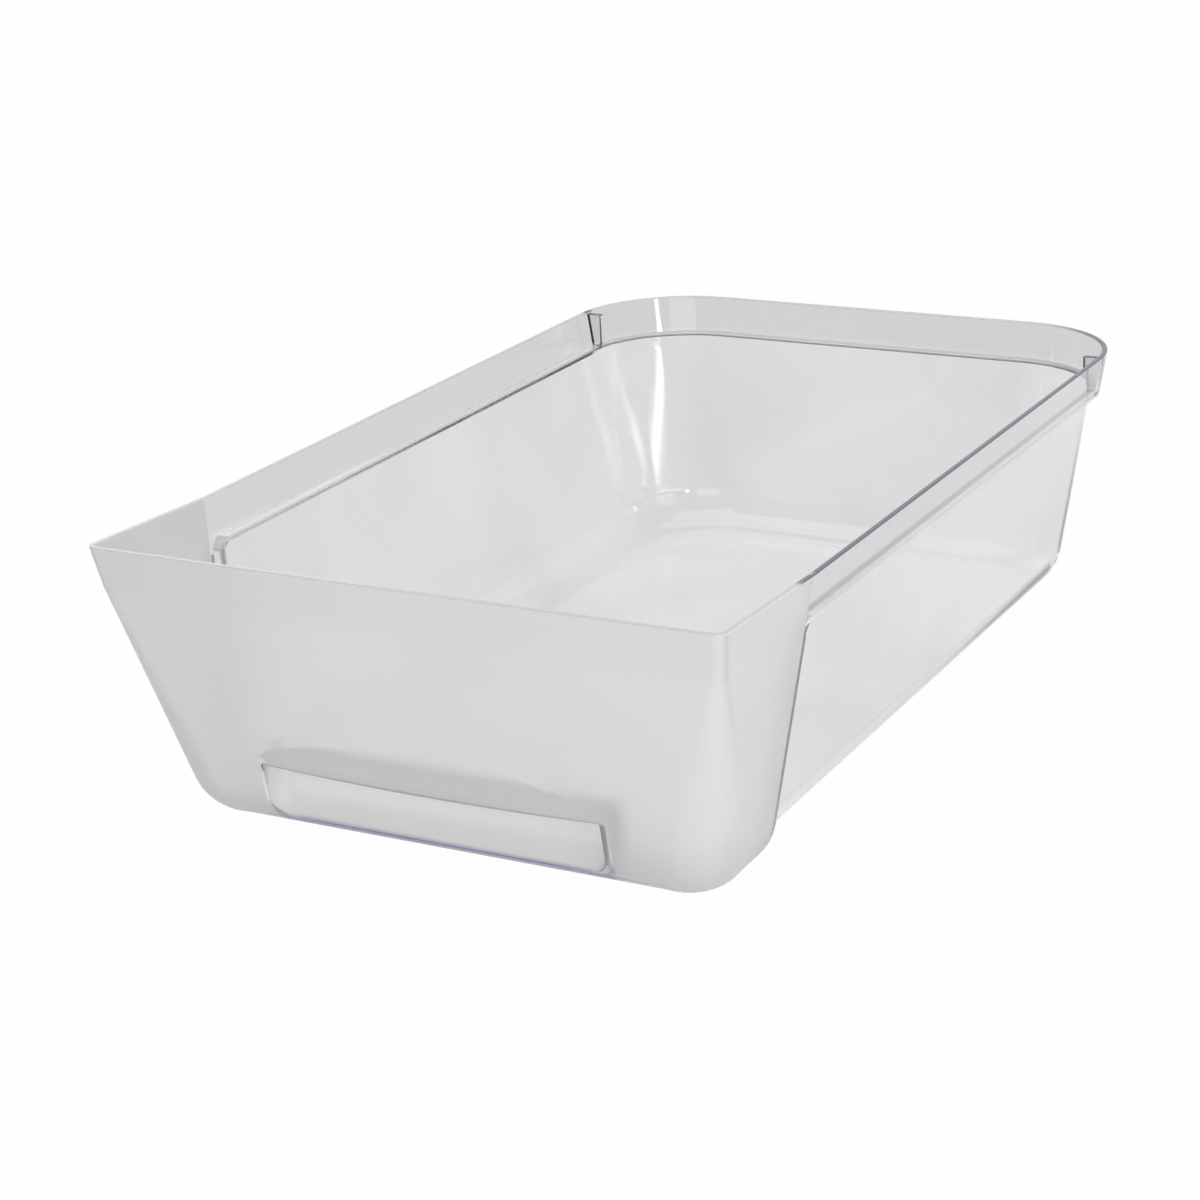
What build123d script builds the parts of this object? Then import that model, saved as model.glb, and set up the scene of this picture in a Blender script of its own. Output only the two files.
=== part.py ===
from build123d import *
from math import cos, radians, sin, tan
import os

# Refrigerator meat drawer, one moulding in clear plastic. Millimetres.
# X runs across, the front faces -Y, Z is up. Z = 0 is the underside, Y = 0 is the middle of the depth.

# Overall size
overall_width = 282.0
overall_depth = 472.0
front_height = 124.0

# Moulding
wall = 2.5
bottom_edge_radius = 24.5
corner_radius_min = 0.6

# Front and its side returns
front_lean = 11.5
side_lean = 7.7
wing_length = 82.5
wing_step_lean = 6.9
front_edge_radius = 5.0
front_edge_drop = 18.0
front_bottom_radius = 29.0
front_top_flat = 6.0
wing_hook_radius = 4.0

# Collar and the ledge it stands on
rim_drop = 2.9
ledge_drop = 20.4
side_ledge_width = 5.6
rear_ledge_width = 2.5
collar_corner_radius = 57.0

# Tub
tub_side_lean = 8.8
tub_rear_lean = 3.0
tub_corner_radius = 50.0
tub_overlap = 20.0

# Stop plates on the ledges
stop_from_rear = 53.0
stop_thickness = 3.0
stop_drop = 1.0

# Finger pull
pull_lip_height = 33.0
pull_half_width = 77.0
pull_top_depth = 9.0
pull_depth = 12.0
pull_back_height = 10.0
pull_foot_height = 6.5
pull_foot_depth = 4.0
pull_top_radius = 7.0
pull_foot_radius = 12.0
pull_inner_radius = 4.0
pull_reach = 20.0
swell_half_width = 110.0
swell_height = 27.0
swell_thickness = 9.0
swell_set_back = 6.5

# Values that follow from the sizes above
half_width = overall_width / 2
front_y = -overall_depth / 2
rear_y = overall_depth / 2
ledge_top = front_height - ledge_drop
ledge_under = ledge_top - wall
rim_height = front_height - rim_drop
cut_margin = 3 * wall


def front_line(height):
    return front_y + (front_height - height) * tan(radians(front_lean))


def wing_line(height):
    return front_y + wing_length - (front_height - height) * tan(radians(wing_step_lean))


def wing_half(height):
    return half_width - (front_height - height) * tan(radians(side_lean))


def collar_rear(height):
    return rear_y - (rim_height - height) * tan(radians(side_lean))


def tub_half(height):
    top_half = wing_half(ledge_under) - side_ledge_width
    return top_half - (ledge_under - height) * tan(radians(tub_side_lean))


def tub_rear(height):
    top_rear = collar_rear(ledge_under) - rear_ledge_width
    return top_rear - (ledge_under - height) * tan(radians(tub_rear_lean))


def tub_front(height):
    return wing_line(0) - tub_overlap


# A block with four leaning sides, given by lines that follow the height
def leaning_block(low, high, half, near, far, inset):
    with BuildPart() as block:
        with BuildSketch(Plane.XZ) as across:
            with BuildLine():
                Polyline(
                    (inset - half(low), low),
                    (half(low) - inset, low),
                    (half(high) - inset, high),
                    (inset - half(high), high),
                    close=True,
                )
            make_face()
        extrude(amount=overall_depth, both=True)
        with BuildSketch(Plane.YZ) as along:
            with BuildLine():
                Polyline(
                    (near(low) + inset, low),
                    (far(low) - inset, low),
                    (far(high) - inset, high),
                    (near(high) + inset, high),
                    close=True,
                )
            make_face()
        extrude(amount=overall_width, both=True, mode=Mode.INTERSECT)
    return block.part


# What is cut from the right front corner at one height to leave its round
def corner_section(height, radius, inset):
    side = wing_half(height) - inset
    near = front_line(height) + inset
    bend = max(radius - inset, corner_radius_min)
    with BuildSketch(Plane.XY.offset(height)) as section:
        with BuildLine():
            RadiusArc((side - bend, near), (side, near + bend), -bend)
            Polyline(
                (side, near + bend),
                (side + cut_margin, near + bend),
                (side + cut_margin, near - cut_margin),
                (side - bend, near - cut_margin),
                (side - bend, near),
            )
        make_face()
    return section.sketch


# The outside of the moulding, and with the wall as inset the space inside it
def drawer_form(inset):
    foot = ledge_under + inset
    round_start = front_height - front_edge_drop

    with BuildPart() as corner:
        loft(
            [
                corner_section(inset, front_bottom_radius, inset),
                corner_section(round_start, front_edge_radius, inset),
                corner_section(front_height, front_edge_radius, inset),
            ],
            ruled=True,
        )
        mirror(about=Plane.YZ)

    with BuildPart() as front:
        add(leaning_block(inset, front_height, wing_half, front_line, wing_line, inset))
        add(corner.part, mode=Mode.SUBTRACT)
        floor_edges = front.faces().sort_by(Axis.Z)[0].edges().sort_by(Axis.Y)
        fillet(floor_edges[:-1], radius=bottom_edge_radius - inset)

    with BuildPart() as tub:
        add(leaning_block(inset, foot, tub_half, tub_front, tub_rear, inset))
        upright = tub.faces().sort_by(Axis.Y)[-1].edges().sort_by(Axis.X)
        fillet([upright[0], upright[-1]], radius=tub_corner_radius - inset)
        floor_edges = tub.faces().sort_by(Axis.Z)[0].edges().sort_by(Axis.Y)
        fillet(floor_edges[1:], radius=bottom_edge_radius - inset)

    with BuildPart() as collar:
        add(leaning_block(foot, front_height, wing_half, tub_front, collar_rear, inset))
        upright = collar.faces().sort_by(Axis.Y)[-1].edges().sort_by(Axis.X)
        fillet([upright[0], upright[-1]], radius=collar_corner_radius - inset)

    with BuildPart() as form:
        add(front.part)
        add(tub.part)
        add(collar.part)
        step_y = wing_line(foot) - inset
        hooks = form.edges().filter_by(Axis.X).filter_by_position(Axis.Z, foot - wall / 2, foot + wall / 2)
        hooks = hooks.filter_by_position(Axis.Y, step_y - wall / 2, step_y + wall / 2)
        fillet(hooks, radius=wing_hook_radius + inset)
    return form.part


lip_point = Vector(0, front_line(pull_lip_height), pull_lip_height)
front_out = Vector(0, -cos(radians(front_lean)), -sin(radians(front_lean)))
front_plane = Plane(origin=lip_point, x_dir=(1, 0, 0), z_dir=front_out)
pull_plane = Plane(origin=lip_point, x_dir=front_out, z_dir=(-1, 0, 0))
swell_plane = front_plane.offset(-swell_set_back)


# The scoop under the lip, and grown by the wall what it takes from the inside
def scoop_form(grow):
    fall = (pull_lip_height - pull_foot_height) / cos(radians(front_lean))
    with BuildPart() as hollow:
        # outline as seen from the front, hanging from the lip
        with BuildSketch(front_plane) as outline:
            Rectangle(2 * pull_half_width, fall, align=(Align.CENTER, Align.MAX))
            corners = outline.vertices().sort_by(Axis.Y)
            fillet(corners[:2], radius=pull_foot_radius)
            fillet(corners[2:], radius=pull_top_radius)
            offset(amount=grow, kind=Kind.INTERSECTION)
        extrude(amount=pull_reach, both=True)
        # depth as seen from the side, a hollow that runs out on the bottom round
        with BuildSketch(pull_plane) as profile:
            with BuildLine():
                ThreePointArc(
                    (-pull_top_depth, cut_margin),
                    (-pull_depth, -pull_back_height),
                    (-pull_foot_depth, -fall),
                )
                Polyline(
                    (-pull_foot_depth, -fall),
                    (pull_reach, -fall),
                    (pull_reach, cut_margin),
                    (-pull_top_depth, cut_margin),
                )
            make_face()
            offset(amount=grow, kind=Kind.INTERSECTION)
        extrude(amount=overall_width, both=True, mode=Mode.INTERSECT)
    return hollow.part


# The soft swelling above the lip, and with the wall as inset the hollow behind it
def swell_form(inset):
    with BuildPart() as swell:
        Sphere(radius=1)
        scale(by=(swell_half_width - inset, swell_height - inset, swell_thickness - inset))
    return swell_plane.location * swell.part


with BuildPart() as scoop:
    add(scoop_form(0))
    back = scoop.faces().sort_by(pull_plane.location.x_axis)[0]
    fillet(back.edges().sort_by(Axis.Z)[1:], radius=pull_inner_radius)

with BuildPart() as outside:
    add(drawer_form(0))
    add(swell_form(0))

with BuildPart() as inside:
    add(drawer_form(wall))
    add(swell_form(wall))
    add(scoop_form(wall), mode=Mode.SUBTRACT)

with BuildPart() as drawer:
    add(outside.part)
    add(scoop.part, mode=Mode.SUBTRACT)
    add(inside.part, mode=Mode.SUBTRACT)

    # stop plates across the two ledges
    stop_inner = tub_half(ledge_top) - wall
    stop_width = wing_half(rim_height) - wall / 2 - stop_inner
    stop_x = stop_inner + stop_width / 2
    stop_y = rear_y - stop_from_rear
    stop_height = rim_height - stop_drop - ledge_top
    with BuildPart() as stop:
        with Locations((stop_x, stop_y, ledge_top)):
            Box(stop_width, stop_thickness, stop_height, align=(Align.CENTER, Align.MIN, Align.MIN))
        mirror(about=Plane.YZ)
        add(outside.part, mode=Mode.INTERSECT)
    add(stop.part)

    # the rim falls a little from the front to the collar
    with BuildSketch(Plane.YZ) as rim:
        with BuildLine():
            Polyline(
                (front_y + front_top_flat, front_height),
                (front_y + wing_length, rim_height),
                (rear_y + cut_margin, rim_height),
                (rear_y + cut_margin, front_height),
                close=True,
            )
        make_face()
    extrude(amount=overall_width, both=True, mode=Mode.SUBTRACT)

drawer.part.label = "drawer"
os.makedirs("parts", exist_ok=True)
export_step(drawer.part, "parts/drawer.step")
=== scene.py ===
import bmesh, bpy, math
from mathutils import Matrix, Vector


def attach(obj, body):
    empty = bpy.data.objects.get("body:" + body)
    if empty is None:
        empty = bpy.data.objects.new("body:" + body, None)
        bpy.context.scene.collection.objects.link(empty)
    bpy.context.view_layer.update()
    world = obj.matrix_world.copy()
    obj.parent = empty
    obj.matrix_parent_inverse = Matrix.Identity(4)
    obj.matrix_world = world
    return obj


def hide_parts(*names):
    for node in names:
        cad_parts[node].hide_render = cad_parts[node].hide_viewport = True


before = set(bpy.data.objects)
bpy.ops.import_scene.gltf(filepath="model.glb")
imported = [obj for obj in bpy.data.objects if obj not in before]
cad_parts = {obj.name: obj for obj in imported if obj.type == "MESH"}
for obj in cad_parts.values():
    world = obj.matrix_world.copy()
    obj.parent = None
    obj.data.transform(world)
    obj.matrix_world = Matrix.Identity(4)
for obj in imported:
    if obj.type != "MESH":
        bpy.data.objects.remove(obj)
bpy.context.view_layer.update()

scene = bpy.context.scene
scene.view_settings.view_transform = "Standard"
print("frame loaded:", sorted(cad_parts))

# small helpers for node trees

def addNode(tree, kind, **values):
    node = tree.nodes.new(kind)
    for name, value in values.items():
        setattr(node, name, value)
    return node


# numbers and colours are set on the socket, a node's output is linked to it
def feed(tree, socket, value):
    if isinstance(value, (int, float, tuple)):
        socket.default_value = value
    else:
        tree.links.new(value, socket)


def mathNode(tree, operation, *values, clamp=False):
    node = addNode(tree, "ShaderNodeMath", operation=operation, use_clamp=clamp)
    for slot, value in enumerate(values):
        feed(tree, node.inputs[slot], value)
    return node.outputs[0]


def product(tree, first, *others):
    for other in others:
        first = mathNode(tree, "MULTIPLY", first, other)
    return first


def rampNode(tree, value, low, high, toLow=0.0, toHigh=1.0):
    node = addNode(tree, "ShaderNodeMapRange", interpolation_type="SMOOTHSTEP")
    for slot, number in enumerate((value, low, high, toLow, toHigh)):
        feed(tree, node.inputs[slot], number)
    return node.outputs[0]


# a mix node's colour sockets come after those for numbers and vectors
def mixColours(tree, mask, first, second):
    node = addNode(tree, "ShaderNodeMix", data_type="RGBA")
    feed(tree, node.inputs["Factor"], mask)
    feed(tree, node.inputs[6], first)
    feed(tree, node.inputs[7], second)
    return node.outputs[2]


def objectPlace(tree):
    place = addNode(tree, "ShaderNodeTexCoord")
    parts = addNode(tree, "ShaderNodeSeparateXYZ")
    feed(tree, parts.inputs[0], place.outputs["Object"])
    return parts.outputs


def newMaterial(name):
    material = bpy.data.materials.new(name)
    material.use_nodes = True
    return material, material.node_tree


# camera, from the lines of the photograph

cameraSettings = {
    "place": (0.55729, -1.08461, 0.47332),  # metres, in the part's frame
    "yaw": 28.7375,  # degrees
    "pitch": 19.4595,
    "roll": 2.5542,
    "focal": 2853.2 / 1200.0,  # in picture widths
    "sensor": 36.0,
    "nearest": 0.01,
}


def makeCamera(values):
    yaw, pitch, roll = (math.radians(values[name]) for name in ("yaw", "pitch", "roll"))
    level = math.cos(pitch)
    ahead = Vector((-math.sin(yaw) * level, math.cos(yaw) * level, -math.sin(pitch)))
    right = ahead.cross(Vector((0, 0, 1))).normalized()
    down = ahead.cross(right)
    tiltedRight = right * math.cos(roll) + down * math.sin(roll)
    tiltedDown = down * math.cos(roll) - right * math.sin(roll)
    turn = Matrix((tiltedRight, -tiltedDown, -ahead)).transposed()
    data = bpy.data.cameras.new("camera")
    data.sensor_width = values["sensor"]
    data.lens = values["focal"] * values["sensor"]
    data.clip_start = values["nearest"]
    camera = bpy.data.objects.new("camera", data)
    camera.matrix_world = Matrix.Translation(values["place"]) @ turn.to_4x4()
    scene.collection.objects.link(camera)
    scene.camera = camera


makeCamera(cameraSettings)
print("camera set")

# the drawer's skin: the CAD shape with fine rounded edges, and its finishes marked off

skinSettings = {
    # rounding of the edges
    "edgeRadius": 0.0006,
    "edgeSegments": 3,
    "edgeAngle": 32.0,  # degrees, outer edges sharper than this are rounded
    "lipShare": 0.7,  # of the radius along the finger pull's rim
    "roomShare": 0.45,  # of the room beside an edge that its rounding may take
    "leastShare": 0.02,
    "strayLength": 0.005,  # shorter runs of edges stay sharp
    "normalWeight": 100,
    # clearing up the CAD facets
    "weldReach": 0.0003,
    "stripReach": 0.0006,  # narrow facets where the front turns into its bottom round
    "stripSpan": (0.0175, 0.0205),
    "stripFront": -0.2,
    "stripHalf": 0.1,
    "flatAngle": 0.15,  # degrees, flatter facets than this are joined
    "bentCount": 8,
    "cutReach": 1e-6,
    "squareFacing": 0.9,  # faces turned this far up or ahead count as level or upright
    # ledge and the step at the end of the front's side returns
    "ledgeHeight": 0.1036,
    "ledgeReach": 0.0003,
    "ledgeTilt": 0.2,
    "ledgeBeyond": 0.01,
    "stepSpan": (-0.172, -0.14),
    "stepInner": 0.1,
    "stepReach": 0.003,
    "stepFacing": 0.5,
    "hookFoot": 0.0965,  # the step's painted dark line starts there
    "hookAhead": 0.1,
    "hookUp": 0.2,
    "sideFacing": 0.3,
    "wallTop": (0.1323, 0.0, 0.1011),  # outside of the tub's wall under the ledge
    "wallLean": 8.8,  # degrees
    # satin front and finger pull
    "satinEnd": (0.0, -0.1566, 0.124),  # a little ahead of the step, at the front's top height
    "satinLean": 6.9,  # degrees, the step runs forward towards the bottom
    "frontTop": -0.236,
    "frontHeight": 0.124,
    "frontLean": 11.5,  # degrees
    "pullBox": (0.0775, 0.006, 0.036),  # half width, foot and top of the finger pull
    "pullBehind": 0.0008,
    "lipBeyond": 0.001,
    "lipAbove": 0.003,
    "lipBehind": 0.003,
    # tops of the rim and of the stop plates
    "rimFacing": 0.7,
    "rimFoot": 0.1195,
    "rimSide": 0.12,
    "stopLine": 0.1845,  # middle of the stop plates, from the frame's middle
    "stopReach": 0.0022,
    "stopSpan": (0.125, 0.138),
    "stopFoot": 0.1042,
}
clear, satin, edge, wing, pull = range(5)  # material slots


def frontAt(height, values):
    lean = math.tan(math.radians(values["frontLean"]))
    return values["frontTop"] + (values["frontHeight"] - height) * lean


def inStrip(place, values):
    low, high = values["stripSpan"]
    ahead = place.y < values["stripFront"] and abs(place.x) < values["stripHalf"]
    return low < place.z < high and ahead


def onRim(face, middle, values):
    return face.normal.z > values["rimFacing"] and middle.z > values["rimFoot"]


# on the ledge's top or on the inside of the step
def onLedge(face, middle, values):
    near, far = values["stepSpan"]
    fromMiddle = abs(middle.x)
    outermost = values["wallTop"][0] + values["ledgeBeyond"]
    if abs(face.normal.x) > values["ledgeTilt"] or fromMiddle > outermost:
        return False
    level = face.normal.z > values["squareFacing"]
    if level and abs(middle.z - values["ledgeHeight"]) < values["ledgeReach"]:
        return True
    inStep = near < middle.y < far and fromMiddle > values["stepInner"]
    return face.normal.y < 0 and inStep and middle.z < values["ledgeHeight"]


def onLip(middle, values):
    half, low, high = values["pullBox"]
    across = abs(middle.x) < half + values["lipBeyond"]
    atFront = middle.y < frontAt(middle.z, values) + values["lipBehind"]
    return across and low + values["lipAbove"] < middle.z < high and atFront


def cutFaces(shell, faces, place, facing, values):
    parts = list({part for face in faces for part in (face, *face.edges, *face.verts)})
    reach = values["cutReach"]
    bmesh.ops.bisect_plane(shell, geom=parts, plane_co=place, plane_no=facing, dist=reach)


def cutSides(shell, values):
    outer = []
    for face in shell.faces:
        facesOut = abs(face.normal.x) > values["sideFacing"]
        if facesOut and abs(face.calc_center_median().x) > values["rimSide"]:
            outer.append(face)
    up = Vector((0, 0, 1))
    cutFaces(shell, outer, up * values["hookFoot"], up, values)


# the wall's end on the ledge and in the step, and the hook between them, which take the edge
# plastic with its painted light and shade
def markLedge(shell, values):
    lean = math.tan(math.radians(values["wallLean"]))
    place = Vector(values["wallTop"])
    for side in (-1, 1):
        found = [face for face in shell.faces if onLedge(face, face.calc_center_median(), values)]
        facing = Vector((side, 0, -lean)).normalized()
        cutFaces(shell, found, (side * place.x, 0, place.z), facing, values)
    for face in shell.faces:
        middle = face.calc_center_median()
        hook = face.normal.y < -values["hookAhead"] and face.normal.z > values["hookUp"]
        overWall = abs(middle.x) < place.x + (middle.z - place.z) * lean
        if onLedge(face, middle, values) and (hook or overWall):
            face.material_index = edge


def satinSlot(face, middle, values):
    half, low, high = values["pullBox"]
    if abs(middle.x) < half and low < middle.z < high:
        if middle.y > frontAt(middle.z, values) + values["pullBehind"]:
            return pull
    return wing if face.normal.x < -abs(face.normal.y) else satin


# spreads over the outside from the foremost face, and stops at the rim and at the step
def markSatin(shell, values):
    lean = math.radians(values["satinLean"])
    endPlace = Vector(values["satinEnd"])
    endFacing = Vector((0, math.cos(lean), -math.sin(lean)))
    cutFaces(shell, shell.faces, endPlace, endFacing, values)
    middles = {face: face.calc_center_median() for face in shell.faces}
    upright = [face for face in shell.faces if face.normal.y < -values["squareFacing"]]
    first = min(upright, key=lambda face: middles[face].y)
    found = {first}
    waiting = [first]
    while waiting:
        face = waiting.pop()
        face.material_index = satinSlot(face, middles[face], values)
        for other in (other for line in face.edges for other in line.link_faces):
            if other in found or onRim(other, middles[other], values):
                continue
            past = (middles[other] - endPlace).dot(endFacing)
            if past < 0:
                found.add(other)
                waiting.append(other)
            elif past < values["stepReach"] and abs(other.normal.x) > values["stepFacing"]:
                other.material_index = edge


# the rim's top, but not along the right side of the collar, and the tops of the stop plates,
# which take the edge plastic with its painted light and shade
def markEdges(shell, values):
    low, high = values["stopSpan"]
    for face in shell.faces:
        middle = face.calc_center_median()
        rightCollar = middle.x > values["rimSide"] and middle.y >= values["satinEnd"][1]
        top = onRim(face, middle, values) and not rightCollar
        inStop = abs(middle.y - values["stopLine"]) < values["stopReach"]
        inStop = inStop and middle.z > values["stopFoot"] and low < abs(middle.x) < high
        if top or inStop and face.normal.z > values["squareFacing"]:
            face.material_index = edge


# a rounding that is only a few facets long looks like a speck
def dropStrays(shell, weight, values):
    waiting = {line for line in shell.edges if line[weight] > 0}
    while waiting:
        chain = [waiting.pop()]
        for line in chain:
            linked = {other for corner in line.verts for other in corner.link_edges} & waiting
            waiting -= linked
            chain += linked
        if sum(line.calc_length() for line in chain) < values["strayLength"]:
            for line in chain:
                line[weight] = 0.0


def sideways(way, along):
    return (way - along * way.dot(along)).length


# narrow facets beside an edge leave it less room for its rounding
def keepRoom(shell, weight, values):
    rounded = [line for line in shell.edges if line[weight] > 0]
    room = {}
    for line in rounded:
        start, end = (corner.co for corner in line.verts)
        along = (end - start).normalized()
        for face in line.link_faces:
            reach = max(sideways(corner.co - start, along) for corner in face.verts)
            for corner in line.verts:
                room[corner] = min(room.get(corner, math.inf), reach)
        for corner in line.verts:
            for other in corner.link_edges:
                if other[weight] == 0:
                    reach = sideways(other.other_vert(corner).co - corner.co, along)
                    room[corner] = min(room[corner], reach)
    for line in rounded:
        least = min(room[corner] for corner in line.verts) * values["roomShare"]
        share = min(line[weight], least / values["edgeRadius"])
        line[weight] = max(values["leastShare"], share)


def weighEdges(shell, values):
    weight = shell.edges.layers.float.new("bevel_weight_edge")
    for line in shell.edges:
        turn = math.degrees(line.calc_face_angle_signed(0.0))
        line.smooth = turn > -values["edgeAngle"]
        if turn > values["edgeAngle"]:
            middle = (line.verts[0].co + line.verts[1].co) / 2
            line[weight] = values["lipShare"] if onLip(middle, values) else 1.0
    dropStrays(shell, weight, values)
    keepRoom(shell, weight, values)


def roundEdges(skin, values):
    rounding = skin.modifiers.new("rounding", "BEVEL")
    rounding.width = values["edgeRadius"]
    rounding.segments = values["edgeSegments"]
    rounding.limit_method = "WEIGHT"
    rounding.use_clamp_overlap = False  # one narrow facet would thin every rounding
    rounding.material = edge
    weighing = skin.modifiers.new("weighing", "WEIGHTED_NORMAL")
    weighing.weight = values["normalWeight"]
    weighing.keep_sharp = True


def makeSkin(node, values):
    shell = bmesh.new()
    shell.from_mesh(node.data)
    bmesh.ops.remove_doubles(shell, verts=shell.verts, dist=values["weldReach"])
    strip = [corner for corner in shell.verts if inStrip(corner.co, values)]
    bmesh.ops.remove_doubles(shell, verts=strip, dist=values["stripReach"])
    bmesh.ops.dissolve_limit(
        shell,
        angle_limit=math.radians(values["flatAngle"]),
        verts=shell.verts,
        edges=shell.edges,
        delimit=set(),
    )
    cutSides(shell, values)
    markLedge(shell, values)
    markSatin(shell, values)
    markEdges(shell, values)
    # the bent ledge and rim are split up so that the rounding can't fold them over
    bent = [face for face in shell.faces if face.normal.z > values["rimFacing"]]
    bent = [face for face in bent if len(face.verts) > values["bentCount"]]
    bmesh.ops.triangulate(shell, faces=bent)
    weighEdges(shell, values)
    for face in shell.faces:
        face.smooth = True
    mesh = bpy.data.meshes.new("drawerSkin")
    shell.to_mesh(mesh)
    shell.free()
    skin = bpy.data.objects.new("drawerSkin", mesh)
    scene.collection.objects.link(skin)
    roundEdges(skin, values)
    return skin


skin = makeSkin(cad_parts["drawer"], skinSettings)
print("skin made, faces:", len(skin.data.polygons))

# effects that more than one plastic uses: cloudy flow marks and a fine satin grain

cloudSettings = {"detail": 4.0, "span": (0.35, 0.68)}
grainSettings = {"detail": 2.0}


def newGroup(name, inputs, output):
    group = bpy.data.node_groups.new(name, "ShaderNodeTree")
    for socket in inputs:
        group.interface.new_socket(socket, in_out="INPUT", socket_type="NodeSocketFloat")
    group.interface.new_socket(output, in_out="OUTPUT", socket_type="NodeSocketFloat")
    start = addNode(group, "NodeGroupInput")
    end = addNode(group, "NodeGroupOutput")
    return group, start.outputs, end.inputs[output]


def addNoise(tree, scale, detail):
    place = addNode(tree, "ShaderNodeTexCoord")
    noise = addNode(tree, "ShaderNodeTexNoise")
    feed(tree, noise.inputs["Vector"], place.outputs["Object"])
    feed(tree, noise.inputs["Scale"], scale)
    feed(tree, noise.inputs["Detail"], detail)
    return noise.outputs[0]


def cloudGroup(values):
    group, given, end = newGroup("flowClouds", ("Scale", "Low", "High"), "Value")
    noise = addNoise(group, given["Scale"], values["detail"])
    value = rampNode(group, noise, *values["span"], given["Low"], given["High"])
    feed(group, end, value)
    return group


def grainGroup(values):
    group, given, end = newGroup("satinGrain", ("Scale",), "Height")
    feed(group, end, addNoise(group, given["Scale"], values["detail"]))
    return group


def addGroup(tree, group, **values):
    node = addNode(tree, "ShaderNodeGroup", node_tree=group)
    for name, value in values.items():
        node.inputs[name].default_value = value
    return node.outputs[0]


clouds = cloudGroup(cloudSettings)
grain = grainGroup(grainSettings)


def newPlastic(name, transmission, ior):
    material, tree = newMaterial(name)
    shader = tree.nodes["Principled BSDF"]
    shader.inputs["Transmission Weight"].default_value = transmission
    shader.inputs["IOR"].default_value = ior
    return material, tree, shader.inputs


# clear plastic of the tub and the collar

plasticSettings = {
    "tintLow": (0.9, 0.9, 0.905, 1),  # in the cloudy flow marks
    "tintHigh": (0.95, 0.95, 0.952, 1),
    # painted shade: the collar band above the ledge is darker than the rest of the plastic
    "collarShadeTint": (0.84, 0.84, 0.848, 1),
    "collarShadeSpan": (0.1, 0.107),  # heights over which the collar's painted shade comes in
    "transmission": 1.0,
    "ior": 1.57,
    "roughness": 0.035,
    "smudge": 0.05,  # roughness the flow marks add
    "smudgeScale": 11.0,
}


def makeClear(values):
    material, tree, sockets = newPlastic("clearPlastic", values["transmission"], values["ior"])
    marks = addGroup(tree, clouds, Scale=values["smudgeScale"], Low=0.0, High=1.0)
    tint = mixColours(tree, marks, values["tintHigh"], values["tintLow"])
    # painted shade, darkening the tint over the collar band
    collar = rampNode(tree, objectPlace(tree)["Z"], *values["collarShadeSpan"])
    tint = mixColours(tree, collar, tint, values["collarShadeTint"])
    feed(tree, sockets["Base Color"], tint)
    rough = mathNode(tree, "MULTIPLY_ADD", marks, values["smudge"], values["roughness"])
    feed(tree, sockets["Roughness"], rough)
    return material


# the same plastic with a satin outside, on the front, its left side return and the finger pull;
# the side return and the finger pull get paler copies of it, painted light

satinSettings = {
    "front": {"tint": (0.93, 0.93, 0.935, 1), "transmission": 0.55},
    "wing": {"tint": (0.95, 0.95, 0.955, 1), "transmission": 0.85},  # the left side return, a paler and clearer copy, painted light so that it doesn't look dark from inside
    # painted light: a paler, more opaque copy lightens the finger pull's recess
    "pull": {"tint": (0.99, 0.99, 0.992, 1), "transmission": 0.27},
    "footShadeTint": (0.3, 0.27, 0.58, 1),  # painted shade, dark blue along the foot of the finger pull
    "footSpan": (0.0088, 0.007),
    "rimShadeTint": (0.28, 0.27, 0.34, 1),  # painted shade, a dark line at its lip and right end
    "lipHalf": (0.078, 0.0765),
    "lipSpan": (0.0339, 0.033),
    "lipShare": 0.6,
    "endInner": (0.0763, 0.0772),
    "endOuter": (0.0802, 0.0786),
    "endTop": (0.034, 0.0315),
    "endFoot": (0.007, 0.012),
    "endShare": 0.8,
    "ior": 1.57,
    "roughness": 0.46,
    "roughSpread": 0.06,
    "roughScale": 14.0,
    "grainScale": 1600.0,
    "grainStrength": 0.12,
    "grainDepth": 0.0001,
}


# painted shade: the dark line at the finger pull's lip and right end, where its walls would show
# through the front, is painted into the front's colour
def rimShadeMask(tree, values):
    place = objectPlace(tree)
    across, height = place["X"], place["Z"]
    lip = product(
        tree,
        rampNode(tree, mathNode(tree, "ABSOLUTE", across), *values["lipHalf"]),
        rampNode(tree, height, *values["lipSpan"], 0.0, values["lipShare"]),
    )
    end = product(
        tree,
        rampNode(tree, across, *values["endInner"]),
        rampNode(tree, across, *values["endOuter"]),
        rampNode(tree, height, *values["endTop"]),
        rampNode(tree, height, *values["endFoot"], 0.0, values["endShare"]),
    )
    return mathNode(tree, "MAXIMUM", lip, end)


# painted shade: the dark blue comes in towards the foot of the finger pull
def footShadeMask(tree, values):
    return rampNode(tree, objectPlace(tree)["Z"], *values["footSpan"])


def makeSatin(values, part):
    own = values[part]
    material, tree, sockets = newPlastic(part + "Satin", own["transmission"], values["ior"])
    tint = own["tint"]
    if part == "front":
        tint = mixColours(tree, rimShadeMask(tree, values), tint, values["rimShadeTint"])
    elif part == "pull":
        tint = mixColours(tree, footShadeMask(tree, values), tint, values["footShadeTint"])
    feed(tree, sockets["Base Color"], tint)
    smoothest = values["roughness"] - values["roughSpread"]
    scale = values["roughScale"]
    rough = addGroup(tree, clouds, Scale=scale, Low=smoothest, High=values["roughness"])
    feed(tree, sockets["Roughness"], rough)
    bump = addNode(tree, "ShaderNodeBump")
    bump.inputs["Strength"].default_value = values["grainStrength"]
    bump.inputs["Distance"].default_value = values["grainDepth"]
    feed(tree, bump.inputs["Height"], addGroup(tree, grain, Scale=values["grainScale"]))
    feed(tree, sockets["Normal"], bump.outputs[0])
    return material


# rounded edges and wall ends, drawn as lines: the pale and the ledge's paler grey are painted
# light, the violet and the blue are painted shade

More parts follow.
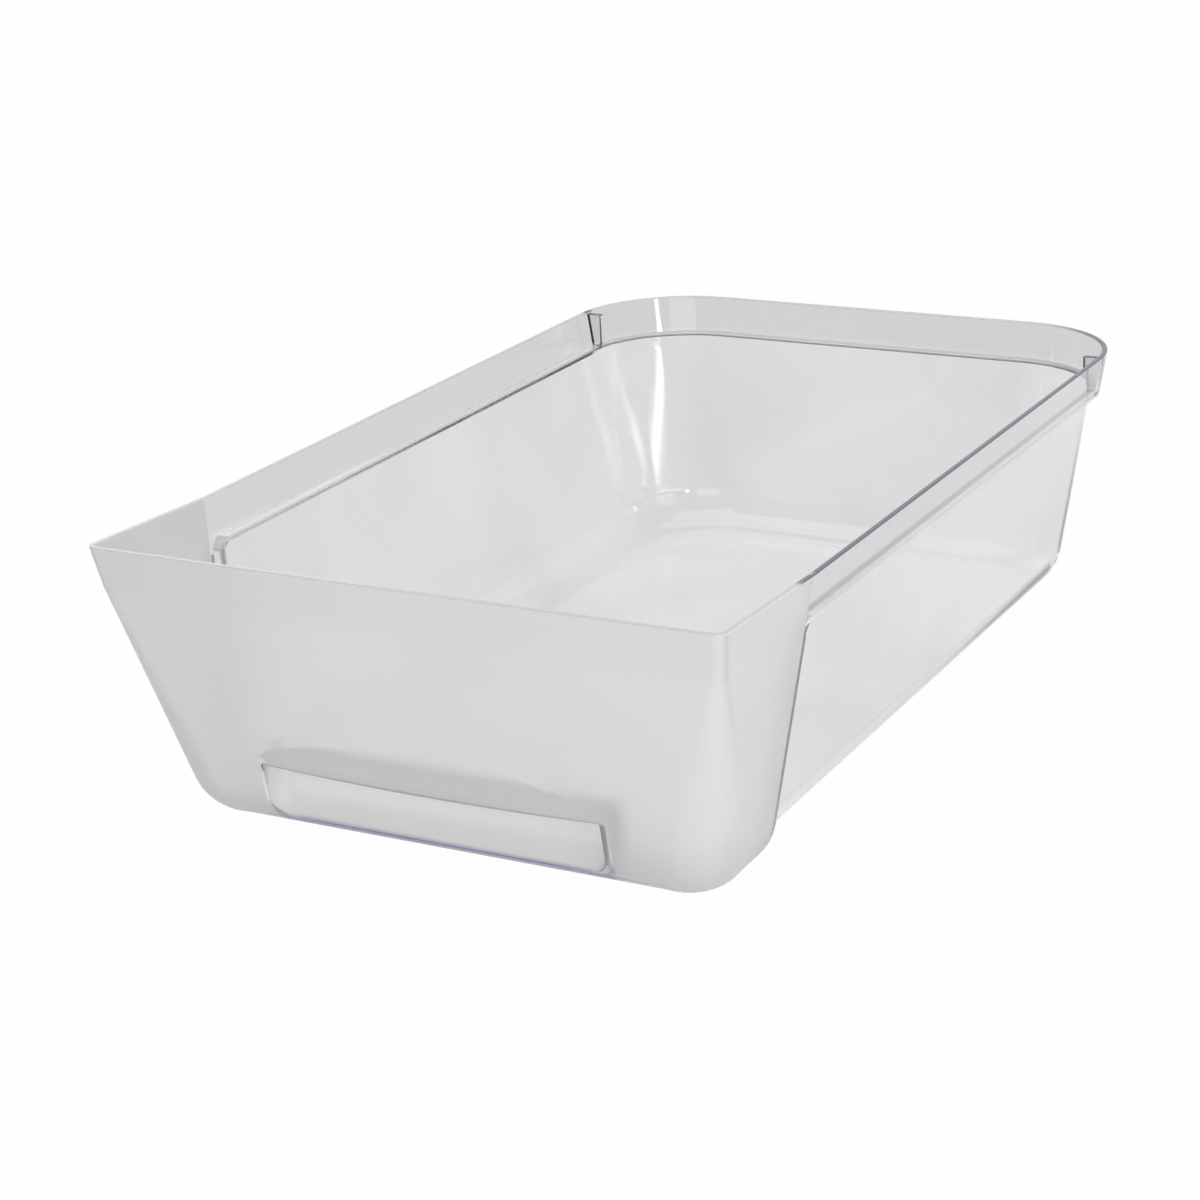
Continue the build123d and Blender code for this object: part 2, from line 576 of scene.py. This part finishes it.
edgeSettings = {
    # painted light: a pale, mostly opaque copy of the plastic shows the rounded edges and rim
    # tops as pale lines
    "pale": (0.8, 0.8, 0.82, 1),
    "ledgeLightTint": (0.9, 0.9, 0.915, 1),  # on the ledge, painted light that makes it paler
    # painted shade, dark violet lines
    "violetShade": (0.15, 0.14, 0.21, 1),
    # painted shade with a blue tinge
    "blueShade": (0.2, 0.17, 0.5, 1),
    "transmission": 0.2,
    "ior": 1.57,
    "roughness": 0.2,
    "sideSpan": (0.09, 0.13),  # the painted shade comes in towards the right side
    "frontSpan": (-0.172, -0.165),  # behind the front
    "ledgeHeight": 0.1028,
    "ledgeReach": 0.003,
    "ledgeShare": 0.5,  # less of it on the ledge
    "stopLine": 0.1845,  # painted shade, all of it on the stop plates
    "stopReach": 0.003,
    "lipHeight": 0.036,  # and round the finger pull's lip and right end, painted shade too
    "lipSpan": (0.029, 0.0315),
    "lipShare": 1.0,
    "endSpan": (0.07, 0.0745),
    "footHeight": 0.014,  # the blue painted shade lies along the foot of the finger pull
    "footEnds": (0.068, 0.048),
}


def makeEdge(values):
    material, tree, sockets = newPlastic("edgePlastic", values["transmission"], values["ior"])
    sockets["Roughness"].default_value = values["roughness"]
    place = objectPlace(tree)
    across, along, height = place["X"], place["Y"], place["Z"]
    fromStop = mathNode(tree, "ABSOLUTE", mathNode(tree, "SUBTRACT", along, values["stopLine"]))
    stop = mathNode(tree, "LESS_THAN", fromStop, values["stopReach"])
    ledge = mathNode(tree, "COMPARE", height, values["ledgeHeight"], values["ledgeReach"])
    ledgeLevel = mathNode(tree, "MULTIPLY_ADD", ledge, values["ledgeShare"] - 1.0, 1.0)
    behind = rampNode(tree, along, *values["frontSpan"])
    side = product(tree, rampNode(tree, across, *values["sideSpan"]), behind, ledgeLevel)
    low = mathNode(tree, "LESS_THAN", height, values["footHeight"])
    fromMiddle = mathNode(tree, "ABSOLUTE", across)
    foot = product(tree, low, rampNode(tree, fromMiddle, *values["footEnds"]))
    lip = rampNode(tree, height, *values["lipSpan"])
    end = rampNode(tree, across, *values["endSpan"])
    belowLip = mathNode(tree, "LESS_THAN", height, values["lipHeight"])
    ahead = mathNode(tree, "SUBTRACT", values["lipShare"], behind, clamp=True)
    rim = product(tree, mathNode(tree, "MAXIMUM", lip, end), belowLip, ahead)
    # the pale and the ledge's tint are painted light; the rim, side and stop masks paint violet
    # shade, the foot mask blue shade
    colour = mixColours(tree, ledge, values["pale"], values["ledgeLightTint"])
    for mask in (rim, side, stop):
        colour = mixColours(tree, mask, colour, values["violetShade"])
    feed(tree, sockets["Base Color"], mixColours(tree, foot, colour, values["blueShade"]))
    return material


slots = {
    clear: makeClear(plasticSettings),
    satin: makeSatin(satinSettings, "front"),
    edge: makeEdge(edgeSettings),
    wing: makeSatin(satinSettings, "wing"),
    pull: makeSatin(satinSettings, "pull"),
}
for slot in sorted(slots):
    skin.data.materials.append(slots[slot])
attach(skin, "root")
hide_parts("drawer")
print("plastic made")

# floor, world and lamps

floorSettings = {
    "half": 6.0,
    "drop": 0.0005,  # under the drawer
    "colour": (0.9, 0.9, 0.9, 1),
    "seenShare": 0.975,  # how white the camera and reflections see it
    "throughShare": 0.75,  # the same through the plastic
    "throughLevel": 0.78,
}


def makeFloor(values):
    half = values["half"]
    mesh = bpy.data.meshes.new("floor")
    corners = [(-half, -half, 0), (half, -half, 0), (half, half, 0), (-half, half, 0)]
    mesh.from_pydata(corners, [], [(0, 1, 2, 3)])
    floor = bpy.data.objects.new("floor", mesh)
    scene.collection.objects.link(floor)
    floor.location.z = -values["drop"]
    material, tree = newMaterial("paleFloor")
    tree.nodes.clear()
    out = addNode(tree, "ShaderNodeOutputMaterial")
    matte = addNode(tree, "ShaderNodeBsdfDiffuse")
    matte.inputs["Color"].default_value = values["colour"]
    glow = addNode(tree, "ShaderNodeEmission")
    glow.inputs["Color"].default_value = (1, 1, 1, 1)
    path = addNode(tree, "ShaderNodeLightPath")
    isThrough = path.outputs["Is Transmission Ray"]
    seen = product(tree, path.outputs["Is Camera Ray"], values["seenShare"])
    mirrored = product(tree, path.outputs["Is Glossy Ray"], values["seenShare"])
    through = product(tree, isThrough, values["throughShare"])
    fall = product(tree, isThrough, 1.0 - values["throughLevel"])
    feed(tree, glow.inputs["Strength"], mathNode(tree, "SUBTRACT", 1.0, fall))
    seen = mathNode(tree, "MAXIMUM", seen, mirrored)
    mix = addNode(tree, "ShaderNodeMixShader")
    feed(tree, mix.inputs["Fac"], mathNode(tree, "MAXIMUM", seen, through))
    feed(tree, mix.inputs[1], matte.outputs[0])
    feed(tree, mix.inputs[2], glow.outputs[0])
    feed(tree, out.inputs["Surface"], mix.outputs[0])
    mesh.materials.append(material)


makeFloor(floorSettings)

worldSettings = {
    "frontLevel": 0.5,  # towards the camera's side
    "backLevel": 0.95,  # behind the drawer
    "backWay": (-0.45, 0.89, 0.0),
    "backSpan": (-0.3, 0.8),
    "topLevel": 0.45,  # overhead
    "topSpan": (0.35, 0.85),
}


def makeWorld(values):
    world = bpy.data.worlds.new("studio")
    world.use_nodes = True
    scene.world = world
    tree = world.node_tree
    back = tree.nodes["Background"]
    way = addNode(tree, "ShaderNodeTexCoord")
    parts = addNode(tree, "ShaderNodeSeparateXYZ")
    feed(tree, parts.inputs[0], way.outputs["Generated"])
    behind = addNode(tree, "ShaderNodeVectorMath", operation="DOT_PRODUCT")
    feed(tree, behind.inputs[0], way.outputs["Generated"])
    feed(tree, behind.inputs[1], values["backWay"])
    levels = values["frontLevel"], values["backLevel"]
    around = rampNode(tree, behind.outputs["Value"], *values["backSpan"], *levels)
    above = rampNode(tree, parts.outputs["Z"], *values["topSpan"])
    level = addNode(tree, "ShaderNodeMix", data_type="FLOAT")
    feed(tree, level.inputs["Factor"], above)
    feed(tree, level.inputs["A"], around)
    feed(tree, level.inputs["B"], values["topLevel"])
    path = addNode(tree, "ShaderNodeLightPath")
    isSeen = path.outputs["Is Camera Ray"]
    strength = mathNode(tree, "MAXIMUM", level.outputs["Result"], isSeen)
    feed(tree, back.inputs["Strength"], strength)
    back.inputs["Color"].default_value = (1, 1, 1, 1)


makeWorld(worldSettings)

lampSettings = {
    "overhead": {
        "place": (-0.2, 0.3, 1.7),
        "aim": (0, 0, 0),
        "size": (1.8, 1.8),
        "power": 7.0,
    },
    "backLeft": {
        "place": (-1.5, 1.3, 0.9),
        "aim": (0, 0, 0.05),
        "size": (0.9, 1.2),
        "power": 2.0,
    },
    "front": {
        "place": (0.75, -2.0, 0.75),
        "aim": (0, 0, 0.05),
        "size": (1.2, 1.0),
        "power": 6.6,
        "mirrored": False,  # it would show as a bright panel in the collar
    },
    "right": {
        "place": (1.9, -0.2, 0.9),
        "aim": (0, 0, 0.05),
        "size": (1.0, 1.0),
        "power": 4.6,
        "mirrored": False,
    },
    "backRight": {
        "place": (1.23, 1.32, 0.4),
        "aim": (-0.1, 0.18, 0.02),
        "size": (0.3, 0.3),
        "power": 1.0,
    },
    "rightPost": {
        "place": (1.28, -1.04, 0.4),
        "aim": (-0.11, 0.22, 0.11),
        "size": (0.1, 0.35),
        "power": 1.6,
    },
    "rightBar": {
        "place": (1.57, -0.36, 0.065),
        "aim": (-0.11, 0.2, 0.06),
        "size": (1.05, 0.03),
        "power": 3.5,
        "turn": -7.2,  # degrees
    },
}


def makeLamp(name, values):
    data = bpy.data.lights.new(name, "AREA")
    data.shape = "RECTANGLE"
    data.size, data.size_y = values["size"]
    data.energy = values["power"]
    lamp = bpy.data.objects.new(name, data)
    scene.collection.objects.link(lamp)
    lamp.visible_camera = False
    lamp.visible_glossy = values.get("mirrored", True)
    place = Vector(values["place"])
    look = (Vector(values["aim"]) - place).to_track_quat("-Z", "Y").to_matrix().to_4x4()
    turn = Matrix.Rotation(math.radians(values.get("turn", 0.0)), 4, "Z")
    lamp.matrix_world = Matrix.Translation(place) @ look @ turn


for name, values in lampSettings.items():
    makeLamp(name, values)
print("studio made")
